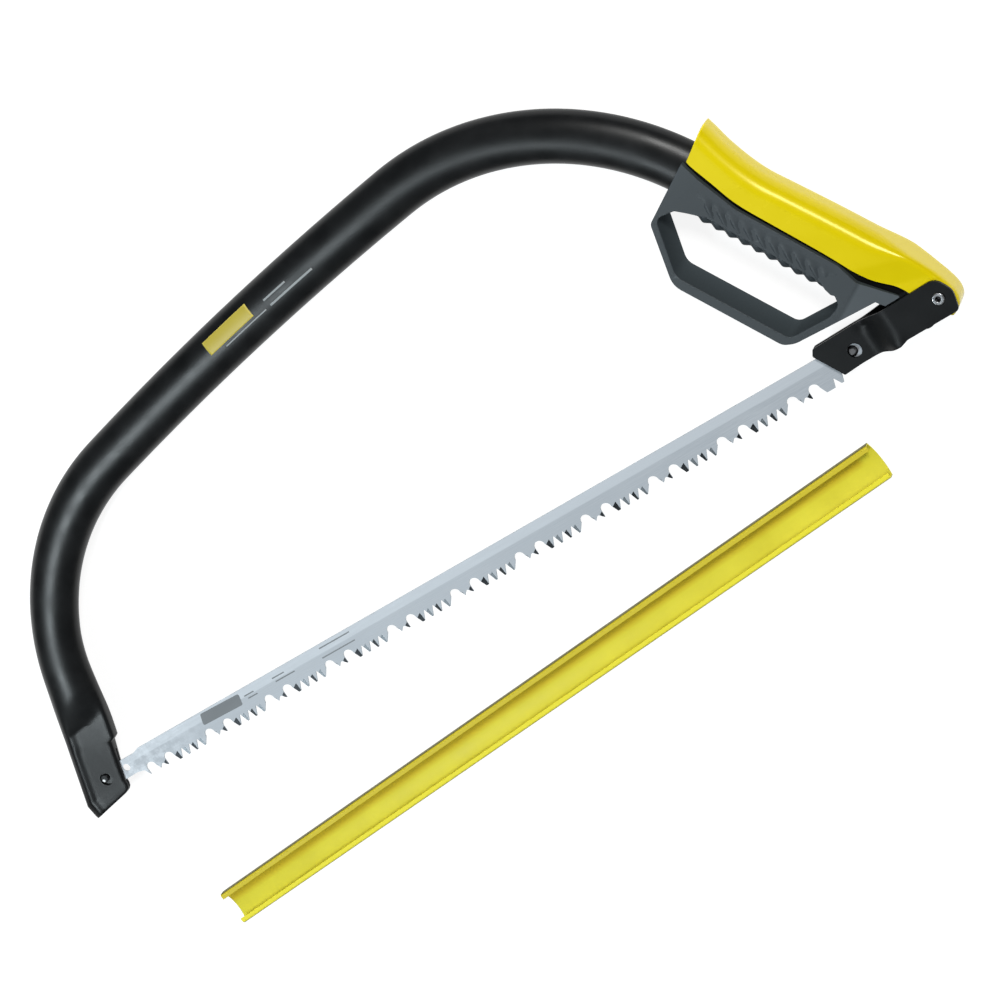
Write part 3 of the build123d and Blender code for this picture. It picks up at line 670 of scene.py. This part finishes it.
sections = [cover_section(row / COVER_ROWS) for row in range(COVER_ROWS + 1)]
wide = len(sections[0])
lever_skin = mesh_object(
    "lever_cover_shell", [point for section in sections for point in section],
    grid_faces(len(sections), wide),
)
thickness = lever_skin.modifiers.new("skin", "SOLIDIFY")
thickness.thickness = COVER_SKIN * MM
thickness.offset = -1.0
thickness.use_even_offset = False
bake(lever_skin)
tidy_normals(lever_skin)
washer_relief = prism("washer_relief", circle(RIVET_FLAT.x, RIVET_FLAT.y, 6.3), -CLEAR, CLEAR)
combine(lever_skin, washer_relief, "DIFFERENCE")
finish_piece(lever_skin, "lever", "cover_plastic", "lever_cover", bevel=0.3, angle=40)


# ------------------------------------------------------------------ grip shells with knuckle guard
def flat(along, out):
    """A handle place as a plan point from the nose."""
    spot = PIVOT_FROM_NOSE + ALONG * along + OUT * out
    return (spot.x, spot.y)


GUARD_HALF = 15.4
STEEP_WALL = 0.4                      # a face whose normal rises less than this is a wall
GUARD_OUTLINE = [                     # each with the radius of its corner
    (*flat(-162.5, 5.8), 0), (*flat(-149, 2.5), 20), (*flat(-122, -1.5), 20), (*flat(-105, -1.0), 8),
    (*flat(-55, 0.3), 8), (*flat(-41, -3.0), 3), (*flat(-28, -0.2), 6), (*flat(-15.2, 2.6), 1),
    (631.4, 14.6, 1), (627.9, 19.5, 0), (573.5, 22.0, 16), (566.8, 25.0, 8), (531.0, 88.5, 14),
    (540.8, 126.3, 5),
]
FINGER_HOLE = [
    (*flat(-152.6, -21.6), 3), (*flat(-146.5, -19.2), 5), (*flat(-135, -15.2), 6), (*flat(-60, -13.6), 6),
    (*flat(-54.5, -16.4), 4), (*flat(-49.8, -17.6), 4), (610.0, 35.0, 5), (608.6, 28.4, 5),
    (600.0, 25.6, 6), (573.0, 26.6, 7), (536.0, 92.0, 10), (545.6, 127.3, 5),
]
FINGER_PITCH, FINGER_START = 8.83, -135.0
BODY_FRONT, BODY_REAR = -149.0, -48.0


def finger_rib(along, v):
    """Slanting S-shaped ribs on the lower half of the grip, 0 to 1."""
    lean = 13.0 * between(5.0, 19.0, -v)
    wave = math.cos(2 * math.pi * (along - FINGER_START - lean + 13.0) / FINGER_PITCH)
    fade = between(5.5, 8.5, -v) * between(BODY_FRONT + 4, BODY_FRONT + 12, along)
    fade *= 1 - between(BODY_REAR - 14, BODY_REAR - 6, along)
    return fade * (0.5 + 0.5 * wave) ** 0.7


def grip_bottom(along):
    """How far out the underside of the grip reaches, negative, and wavy where the fingers lie."""
    finger = (along - FINGER_START) / FINGER_PITCH
    deep = -20.4 + 0.24 * finger
    inside = between(BODY_FRONT, BODY_FRONT + 7, along) * (1 - between(BODY_REAR - 8, BODY_REAR, along))
    wavy = between(-146, -140, along) * (1 - between(-60, -54, along))
    return -13 + (deep + wavy * 0.5 * abs(math.sin(math.pi * finger)) + 13) * inside


def grip_body():
    """The part that the hand closes on: a rounded underside with finger ribs."""
    rings, steps = [], 30
    rows = int((BODY_REAR - BODY_FRONT) / 0.55)
    for row in range(rows + 1):
        along = BODY_FRONT + (BODY_REAR - BODY_FRONT) * row / rows
        bottom, middle = grip_bottom(along), -6.5
        proud = 15.25 + 0.35 * between(14.0, 18.0, -bottom)
        section = [(-1.5, proud - 0.7), (-3.0, proud - 0.25), (-4.8, proud)]
        for step in range(steps + 1):
            turn = math.pi / 2 * step / steps
            v = middle + (bottom - middle) * math.sin(turn) ** 0.8
            z = proud * max(0.0, math.cos(turn)) ** 0.5
            lift = 1.45 * finger_rib(along, v)
            sunk = 0.65 * between(5.5, 8.5, -v)
            section.append((v - lift * math.sin(turn) * 0.9, z + lift * math.cos(turn) - sunk))
        # the far side's ribs stop at the guard's face, which lies on the floor
        both = section + [(v, -min(z, GUARD_HALF)) for v, z in reversed(section[:-1])]
        rings.append([grip(along, v, z) for v, z in both])
    return swept("grip_body", rings)


def plane_cut(piece, line, tilt, side):
    """Cuts the piece by a plane through a plan line on its outer face, dropping to the line's right."""
    (x1, y1), (x2, y2) = line
    run = (Vector((x2, y2)) - Vector((x1, y1))).normalized()
    right = Vector((run.y, -run.x, 0))
    normal = right * math.sin(math.radians(tilt)) + Vector((0, 0, side * math.cos(math.radians(tilt))))
    work = bmesh.new()
    work.from_mesh(piece.data)
    cut = bmesh.ops.bisect_plane(
        work, geom=work.verts[:] + work.edges[:] + work.faces[:], plane_co=saw(x1, y1, side * GUARD_HALF),
        plane_no=normal, clear_outer=True,
    )
    edges = [item for item in cut["geom_cut"] if isinstance(item, bmesh.types.BMEdge)]
    bmesh.ops.holes_fill(work, edges=edges)
    bmesh.ops.recalc_face_normals(work, faces=work.faces)
    work.to_mesh(piece.data)
    work.free()


BED_GAP = 0.25                        # between the tube and the bed it lies in
BED_STATIONS = 27                     # from inside the grip to past its front
BED_POINTS = 48
bed_rings = []
for place, heading in [(PIVOT_FROM_NOSE + ALONG * 10, HANDLE_ANGLE + math.pi)] + bow[:BED_STATIONS]:
    bed_rings.append([])
    for step in range(BED_POINTS):
        turn = 2 * math.pi * step / BED_POINTS
        spot = place - outwards(heading) * ((TUBE_HALF_WIDE + BED_GAP) * math.cos(turn))
        bed_rings[-1].append(saw(spot.x, spot.y, (TUBE_HALF_THICK + BED_GAP) * math.sin(turn)))

guard = prism("guard", rounded(GUARD_OUTLINE), -GUARD_HALF, GUARD_HALF)
combine(guard, prism("hole", rounded(FINGER_HOLE), -CLEAR, CLEAR), "DIFFERENCE")
ease_edges(guard, 1.2, 60, segments=3)
bake(guard)
combine(guard, grip_body(), "UNION")
combine(guard, swept("bed", bed_rings), "DIFFERENCE")
half_field = [(500, -20), (700, -20), (700, 200), (500, 200)]
for side, name, node in ((1, "grip_near_shell", "grip_near_half"), (-1, "grip_far_shell", "grip_far_half")):
    shell = guard.copy()
    shell.data = guard.data.copy()
    bpy.context.scene.collection.objects.link(shell)
    shell.name = name
    combine(shell, prism("half", half_field, *sorted((0, side * CLEAR))), "INTERSECT")
    plane_cut(shell, ((603, 22), flat(-41, -3.4)), 5.0, side)
    plane_cut(shell, ((624.5, 17.5), flat(-23.5, 0.0)), 14.0, side)
    finish_piece(shell, "frame", "grip_plastic", node, bevel=0.3, angle=50)
    # the steep walls are duller, with no specular reflection because a low light would make them glare, and
    # darker, as painted shade
    shell.data.materials.append(MATERIALS["grip_wall_painted_shade"])
    for face in shell.data.polygons:
        face.material_index = int(abs(face.normal.z) < STEEP_WALL)
bpy.data.objects.remove(guard, do_unlink=True)

# ------------------------------------------------------------------ lever channel under the cover
CHANNEL_TOP, CHANNEL_SKIN, CHANNEL_ROUND = 19.0, 1.4, 6.0
CHANNEL_SIDE = [
    (-142, 30), (13, 30), (12, 4), (7.4, -3), (4, -6.4), (-4, -6.4), (-8, 0), (-14, 6.6), (-30, 5.4),
    (-142, 5.4),
]
channel_rows = []
for row in range(60):
    along = -146 + 158 * row / 59
    half = 13.0 - 2.9 * min(1.0, max(0.0, (along + 46) / 30.5))
    profile = [(-12.0, half), (0.0, half), (CHANNEL_TOP - CHANNEL_ROUND, half)]
    for step in range(1, 9):
        turn = math.pi / 2 * step / 8
        profile.append((
            CHANNEL_TOP - CHANNEL_ROUND * (1 - math.sin(turn)),
            half - CHANNEL_ROUND * (1 - math.cos(turn)),
        ))
    profile += [(v, -z) for v, z in reversed(profile)]
    channel_rows.append([grip(along, v, z) for v, z in profile])
channel = mesh_object(
    "lever_channel_bent", [point for row in channel_rows for point in row],
    grid_faces(len(channel_rows), len(channel_rows[0])),
)
skin = channel.modifiers.new("skin", "SOLIDIFY")
skin.thickness, skin.offset, skin.use_even_offset = CHANNEL_SKIN * MM, -1.0, True
bake(channel)
tidy_normals(channel)
combine(channel, prism("side", CHANNEL_SIDE, -CLEAR, CLEAR, grip), "INTERSECT")
combine(channel, prism("pivot_hole", circle(0, 0, 3.5), -CLEAR, CLEAR, grip), "DIFFERENCE")
rivet_hole = prism("rivet_hole", circle(RIVET_FLAT.x, RIVET_FLAT.y, 3.06), -CLEAR, CLEAR)
combine(channel, rivet_hole, "DIFFERENCE")
finish_piece(channel, "lever", "channel_steel", "lever_channel", bevel=0.25, angle=50)

# ------------------------------------------------------------------ stirrup plates
JOGGLE_LOW, JOGGLE_HIGH = 608.5, 628.5
LINK_INNER, LINK_PINCH, LINK_THICK = 12.1, 1.2, 2.0
LINK_OUTLINE = [
    (576.3, 11.6, 1.2), (604.7, 12.4, 0), (664.8, 14.4, 9), (670.4, 3.0, 9), (667.2, -8.8, 3),
    (631.6, -9.2, 3), (626.0, -11.0, 3), (619.0, -11.4, 3), (612.0, -10.2, 3), (597.6, -10.4, 2),
    (584.4, -11.4, 1.0), (573.8, 7.7, 1.5),
]
FAR_LINK_END = [(652.0, 12.0, 8), (664.0, 5.5, 7), (664.4, -8.8, 3)]
FAR_LINK_OUTLINE = LINK_OUTLINE[:2] + FAR_LINK_END + LINK_OUTLINE[5:]


def link_height(x, y):
    """Inner face of a stirrup plate: pinched on the blade, stepped out beside the lever, with the
    metal drawn outwards at the lower edge of the step and dished near its upper edge."""
    step = between(JOGGLE_LOW - 2.0, JOGGLE_HIGH + 1.0, x)
    drawn = 1.5 * math.exp(-((x - 623.0) / 5.5) ** 2 - ((y + 9.5) / 5.0) ** 2)
    dished = 1.1 * math.exp(-((x - 613.0) / 5.0) ** 2 - ((y - 8.5) / 2.6) ** 2)
    return LINK_PINCH + (LINK_INNER - LINK_PINCH) * step + drawn - dished


def link_plate(name, side):
    """A stirrup plate, side 1 the near one and -1 the far one."""
    columns, rows = 90, 26
    points = []
    for thick in (0.0, LINK_THICK):
        for row in range(rows):
            y = -16 + 34 * row / (rows - 1)
            for column in range(columns):
                x = 570 + 104 * column / (columns - 1)
                points.append(saw(x, y, side * (link_height(x, y) + thick)))
    plate = two_layers(name, points, rows, columns)
    outline = LINK_OUTLINE if side > 0 else FAR_LINK_OUTLINE
    combine(plate, prism("outline", rounded(outline), -CLEAR, CLEAR), "INTERSECT")
    rivet = circle(RIVET_FLAT.x, RIVET_FLAT.y, 3.05)
    pin = circle(BLADE_PIN_X + 1.6, HOLE_Y, 4.4) if side > 0 else circle(BLADE_PIN_X, HOLE_Y, 2.45)
    for hole in (rivet, pin):
        combine(plate, prism("hole", hole, -CLEAR, CLEAR), "DIFFERENCE")
    return plate


for side, name, node in ((1, "link_near", "link_near_plate"), (-1, "link_far", "link_far_plate")):
    finish_piece(link_plate(name, side), "stirrup", "link_enamel", node, bevel=0.35, angle=50)


# ------------------------------------------------------------------ printed patches, with no words
def blade_patch(name, outline):
    """A thin printed patch lying on the blade."""
    piece = prism(name, rounded(outline), BLADE_FACE - 0.02, BLADE_FACE + 0.03)
    piece.data.materials.append(MATERIALS["ink"])
    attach(piece, "frame")


MATERIALS["ink"] = moulded("ink", (0.07, 0.078, 0.088), (0.10, 0.11, 0.12), 0.5, 0.05)
blade_patch("blade_mark", [(87.5, 3.8, 1.5), (120, 3.0, 1.5), (118, -4.8, 1.5), (84.5, -4.0, 1.5)])
BLADE_LINES = [                       # start, end and level of each
    (122.5, 130.5, -0.5), (124, 132, -3.0), (147, 157, 0.5), (148, 164, -2.4), (188, 213, 2.2),
    (186, 213, -4.2),
]
for number, (start, end, level) in enumerate(BLADE_LINES, 1):
    line = [(start, level + 0.5), (end, level + 0.4), (end, level - 0.4), (start, level - 0.4)]
    blade_patch(f"blade_line_{number}", [(x, y, 0) for x, y in line])


def tube_label(name, from_row, to_row, low, high, material):
    """A printed label that lies on the tube between two of its stations and two turns round it."""
    rows, columns = 25, 13
    points = []
    for lifted in (0.0, 0.05):
        for row in range(rows):
            spot = from_row + (to_row - from_row) * row / (rows - 1)
            index = int(spot)
            (place, heading), (ahead, _) = bow[index], bow[index + 1]
            place = place.lerp(ahead, spot - index)
            for column in range(columns):
                turn = math.radians(low + (high - low) * column / (columns - 1))
                point = place - outwards(heading) * ((TUBE_HALF_WIDE + lifted) * math.cos(turn))
                points.append(saw(point.x, point.y, (TUBE_HALF_THICK + lifted) * math.sin(turn)))
    label = two_layers(name, points, rows, columns)
    label.data.materials.append(material)
    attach(label, "frame")


MATERIALS["label_yellow"] = moulded("label_yellow", (0.42, 0.33, 0.035), (0.50, 0.41, 0.055), 0.45, 0.05)
tube_label("tube_label", 124.5, 138.0, 90.0, 125.0, MATERIALS["label_yellow"])
MATERIALS["label_white"] = moulded("label_white", (0.24, 0.26, 0.27), (0.32, 0.34, 0.35), 0.5, 0.05)
TUBE_LINES = [                        # from and to station, and from and to turn, of each
    (121.4, 134.0, 81, 83.5), (114.0, 120.5, 98, 102), (107.4, 120.0, 80, 84.5),
]
for number, extent in enumerate(TUBE_LINES, 1):
    tube_label(f"tube_line_{number}", *extent, MATERIALS["label_white"])

# ------------------------------------------------------------------ blade with ground tooth points
GROUP_START, GROUP_PITCH, GROUP_COUNT = 33.8, 51.3, 11
BLADE_TIP = -15.8
TOOTH_POINTS = (22.2, 28.9, 35.8, 42.6)      # from the start of a group
RAKER_POINTS = (4.0, 12.2)                   # the raker's two, also from there


def point_facet(x, tall):
    """A wedge that grinds a facet across a tooth's point on its near face."""
    high, low = BLADE_FACE + 0.005, BLADE_FACE - 0.3
    plan = [(x - 2.6, BLADE_TIP + tall - 0.6), (x + 0.9, BLADE_TIP + tall + 1.4),
            (x + 1.3, BLADE_TIP - 1), (x - 1.0, BLADE_TIP - 1)]
    bottom = [saw(px, py, z) for (px, py), z in zip(plan, (high, low, low, high))]
    top = [saw(px, py, 2.0) for px, py in plan]
    faces = [(0, 1, 2), (0, 2, 3), (4, 5, 6, 7)]
    faces += [(i, (i + 1) % 4, 4 + (i + 1) % 4, 4 + i) for i in range(4)]
    return mesh_object("facet", bottom + top, faces, smooth=False)


toothed = node_copy("blade", "blade_toothed")
for polygon in toothed.data.polygons:
    polygon.use_smooth = False
MATERIALS["hardened"] = bare_steel("hardened", (0.012, 0.013, 0.015), (0.05, 0.055, 0.06), 0.45, None, 300)
MATERIALS["ground"] = bare_steel("ground", (0.10, 0.11, 0.12), (0.2, 0.22, 0.24), 0.45, None, 300)
toothed.data.materials.clear()
toothed.data.materials.append(MATERIALS["blade_steel"])
for dark, material in ((0, "hardened"), (1, "ground")):
    points, faces = [], []
    for group in range(GROUP_COUNT):
        start = GROUP_START + group * GROUP_PITCH
        teeth = [(start + x, 4.6) for x in TOOTH_POINTS[dark::2] if group < GROUP_COUNT - 1]
        teeth.append((start + RAKER_POINTS[1 - dark], 4.2 - 1.2 * dark))
        for x, tall in teeth:
            facet = point_facet(x, tall)
            first = len(points)
            points += [vertex.co.copy() for vertex in facet.data.vertices]
            faces += [tuple(first + i for i in polygon.vertices) for polygon in facet.data.polygons]
            bpy.data.objects.remove(facet, do_unlink=True)
    grinders = mesh_object("grinders", points, faces, smooth=False)
    grinders.data.materials.append(MATERIALS[material])
    combine(toothed, grinders, "DIFFERENCE")
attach(toothed, "frame")
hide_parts("blade")

# ------------------------------------------------------------------ eased edges on the CAD's own small pieces
for node in ("pivot_pin", "pivot_bush", "link_rivet", "link_washers", "grip_screws",
             "nose_pin", "blade_pin", "blade_cover"):
    thing = frame["nodes"][node]
    weld = thing.modifiers.new("weld", "WELD")
    weld.merge_threshold = 1e-6
    ease_edges(thing, 0.25, 40)

# ------------------------------------------------------------------ camera
CAMERA_PLACE = saw(1223.4, 387.5, 1809.1)
CAMERA_RIGHT = Vector((0.7819, -0.5643, -0.2652)).normalized()
CAMERA_BACK = Vector((0.4272, 0.1752, 0.887)).normalized()
CAMERA_UP = CAMERA_BACK.cross(CAMERA_RIGHT).normalized()
CAMERA_LENS = 120.64

camera_data = bpy.data.cameras.new("camera")
camera_data.lens = CAMERA_LENS
camera_data.sensor_width = 36.0
camera_data.clip_end = 50.0
camera = bpy.data.objects.new("camera", camera_data)
bpy.context.scene.collection.objects.link(camera)
axes = Matrix((CAMERA_RIGHT, CAMERA_UP, CAMERA_BACK)).transposed()
camera.matrix_world = Matrix.Translation(CAMERA_PLACE) @ axes.to_4x4()
bpy.context.scene.camera = camera

# ------------------------------------------------------------------ floor and light
FLOOR_DROP, FLOOR_HALF = 0.0006, 6
floor_mesh = bpy.data.meshes.new("floor")
floor_corners = [(-FLOOR_HALF, -FLOOR_HALF), (FLOOR_HALF, -FLOOR_HALF), (FLOOR_HALF, FLOOR_HALF)]
floor_corners.append((-FLOOR_HALF, FLOOR_HALF))
floor_mesh.from_pydata([(x, y, -FLOOR_DROP) for x, y in floor_corners], [], [(0, 1, 2, 3)])
floor = bpy.data.objects.new("floor", floor_mesh)
bpy.context.scene.collection.objects.link(floor)
floor_material, _, _, floor_bsdf = new_material("floor")
floor_bsdf.inputs["Base Color"].default_value = (0.26, 0.26, 0.26, 1.0)
floor_bsdf.inputs["Roughness"].default_value = 0.9
floor_bsdf.inputs["Specular IOR Level"].default_value = 0.1
floor_bsdf.inputs["Emission Color"].default_value = (1.0, 1.0, 1.0, 1.0)
floor_bsdf.inputs["Emission Strength"].default_value = 0.88
floor_mesh.materials.append(floor_material)


def soft_light(name, place, aim, size, power, color):
    """A rectangular soft box that faces its aim."""
    data = bpy.data.lights.new(name, "AREA")
    data.shape = "RECTANGLE"
    data.size, data.size_y = size
    data.energy = power
    data.color = color
    light = bpy.data.objects.new(name, data)
    bpy.context.scene.collection.objects.link(light)
    light.location = place
    light.rotation_euler = (Vector(aim) - Vector(place)).to_track_quat("-Z", "Y").to_euler()


soft_light("left_softbox", (-1.3, -0.12, 2.0), (0, 0, 0), (0.85, 0.55), 36, (0.86, 0.96, 1.0))
soft_light("right_softbox", (1.3, 0.95, 1.75), (0.2, 0, 0), (0.75, 0.5), 36, (1.0, 1.0, 0.98))

# the world glows from above and in front, and is dark behind and below, so that black enamel stays black
world = bpy.data.worlds.new("world")
bpy.context.scene.world = world
world.use_nodes = True
world_nodes, world_links = world.node_tree.nodes, world.node_tree.links
direction = world_nodes.new("ShaderNodeTexCoord")
towards_front = world_nodes.new("ShaderNodeVectorMath")
towards_front.operation = "DOT_PRODUCT"
towards_front.inputs[1].default_value = Vector((0.05, -0.35, 0.93)).normalized()
world_links.new(direction.outputs["Generated"], towards_front.inputs[0])
glow = ramp(world_nodes, world_links, towards_front.outputs["Value"], -0.2, 1.0, 0.03, 0.14)
# the backdrop that is seen past the floor is as pale as the floor
backdrop = world_nodes.new("ShaderNodeMath")
backdrop.operation = "MAXIMUM"
world_links.new(glow, backdrop.inputs[0])
world_links.new(world_nodes.new("ShaderNodeLightPath").outputs["Is Camera Ray"], backdrop.inputs[1])
world_links.new(backdrop.outputs["Value"], world_nodes["Background"].inputs["Strength"])
world_nodes["Background"].inputs["Color"].default_value = (1, 1, 1, 1)
bpy.context.scene.view_settings.view_transform = "Standard"
